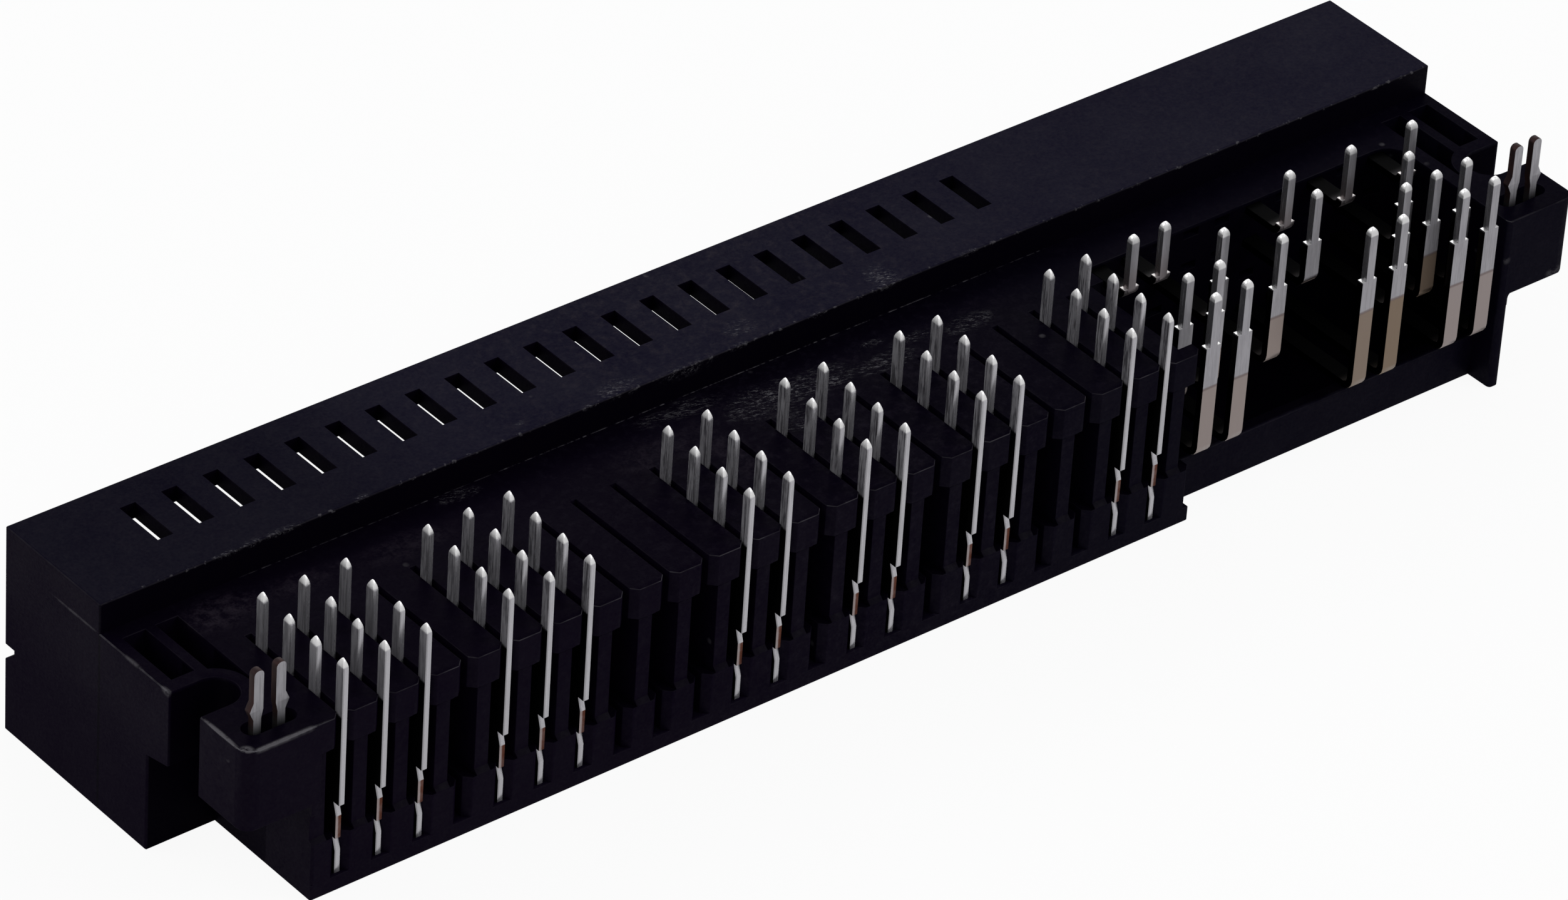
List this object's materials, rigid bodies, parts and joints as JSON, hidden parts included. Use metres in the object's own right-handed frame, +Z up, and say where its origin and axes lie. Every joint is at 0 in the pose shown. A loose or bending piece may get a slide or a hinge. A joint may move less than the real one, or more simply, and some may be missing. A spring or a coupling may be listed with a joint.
{
  "type": "multi-pin connector",
  "caption": "Right-angle board connector: black shrouded housing with stamped power plates, bent signal pins and a forked board lock at each end.",
  "frame": {"origin": "on the resting plane, under the middle of the bounding box", "axes": "+X along the connector from the power end to the signal end, +Y toward the mating mouth, +Z up, the way the solder tails point"},
  "size_m": [0.1024, 0.0234, 0.0168],
  "materials": {
    "housing": "moulded black thermoplastic, satin, with light scuffs",
    "power_contact": "tin-plated copper alloy with bare copper on sheared edges",
    "signal_contact": "tin plate on the tails, dull nickel below",
    "board_lock": "tin-plated copper alloy with coppery sheared edges"
  },
  "bodies": {
    "root": {"housing": "housing", "power_contact_01": "power_contact", "power_contact_02": "power_contact", "power_contact_03": "power_contact", "power_contact_04": "power_contact", "power_contact_05": "power_contact", "power_contact_06": "power_contact", "power_contact_07": "power_contact", "power_contact_08": "power_contact", "power_contact_09": "power_contact", "power_contact_10": "power_contact", "power_contact_11": "power_contact", "power_contact_12": "power_contact", "power_contact_13": "power_contact", "power_contact_14": "power_contact", "signal_contact_01": "signal_contact", "signal_contact_02": "signal_contact", "signal_contact_03": "signal_contact", "signal_contact_04": "signal_contact", "signal_contact_05": "signal_contact", "signal_contact_06": "signal_contact", "signal_contact_07": "signal_contact", "signal_contact_08": "signal_contact", "signal_contact_09": "signal_contact", "signal_contact_10": "signal_contact", "signal_contact_11": "signal_contact", "signal_contact_12": "signal_contact", "signal_contact_13": "signal_contact", "signal_contact_14": "signal_contact", "signal_contact_15": "signal_contact", "signal_contact_16": "signal_contact", "signal_contact_17": "signal_contact", "signal_contact_18": "signal_contact", "signal_contact_19": "signal_contact", "signal_contact_20": "signal_contact", "board_lock_left": "board_lock", "board_lock_right": "board_lock"}
  },
  "joints": []
}
